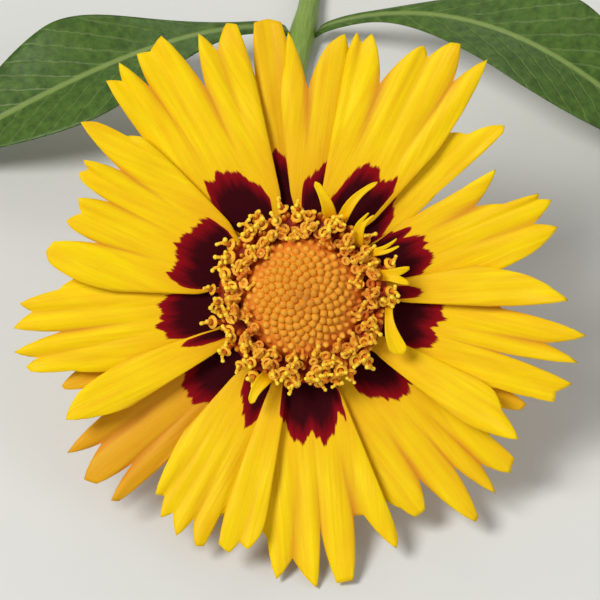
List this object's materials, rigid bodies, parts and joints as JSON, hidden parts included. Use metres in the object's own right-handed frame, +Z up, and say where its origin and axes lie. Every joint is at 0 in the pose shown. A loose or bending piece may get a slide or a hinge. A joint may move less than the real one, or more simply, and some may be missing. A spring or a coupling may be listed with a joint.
{
  "type": "coreopsis flower",
  "caption": "Cut coreopsis flower: toothed yellow rays in layers round an orange disc, with green bracts, a bent stem and a pair of lance-shaped leaves, lying on a surface.",
  "frame": {"origin": "centre of the bounding box's bottom, on the surface that the flower lies on", "axes": "+Z up, -Y towards the viewer whom the flower head faces, +X to the right as its face is seen; the stem lies along +Y behind the head"},
  "size_m": [0.0944, 0.113, 0.039],
  "materials": {
    "ray_florets": "satin",
    "disc_buds": "satin",
    "disc_open_florets": "satin",
    "receptacle_cup": "satin",
    "outer_bracts": "satin",
    "stem": "satin",
    "leaves": "satin"
  },
  "bodies": {
    "root": {"ray_01": "ray_florets", "ray_02": "ray_florets", "ray_03": "ray_florets", "ray_04": "ray_florets", "ray_05": "ray_florets", "ray_06": "ray_florets", "ray_07": "ray_florets", "ray_08": "ray_florets", "ray_09": "ray_florets", "ray_10": "ray_florets", "ray_11": "ray_florets", "ray_12": "ray_florets", "ray_13": "ray_florets", "ray_14": "ray_florets", "ray_15": "ray_florets", "ray_16": "ray_florets", "ray_17": "ray_florets", "ray_18": "ray_florets", "ray_19": "ray_florets", "disc_buds": "disc_buds", "disc_open_florets": "disc_open_florets", "receptacle_cup": "receptacle_cup", "outer_bracts": "outer_bracts", "stem": "stem", "leaf_right": "leaves", "leaf_left": "leaves"}
  },
  "joints": []
}
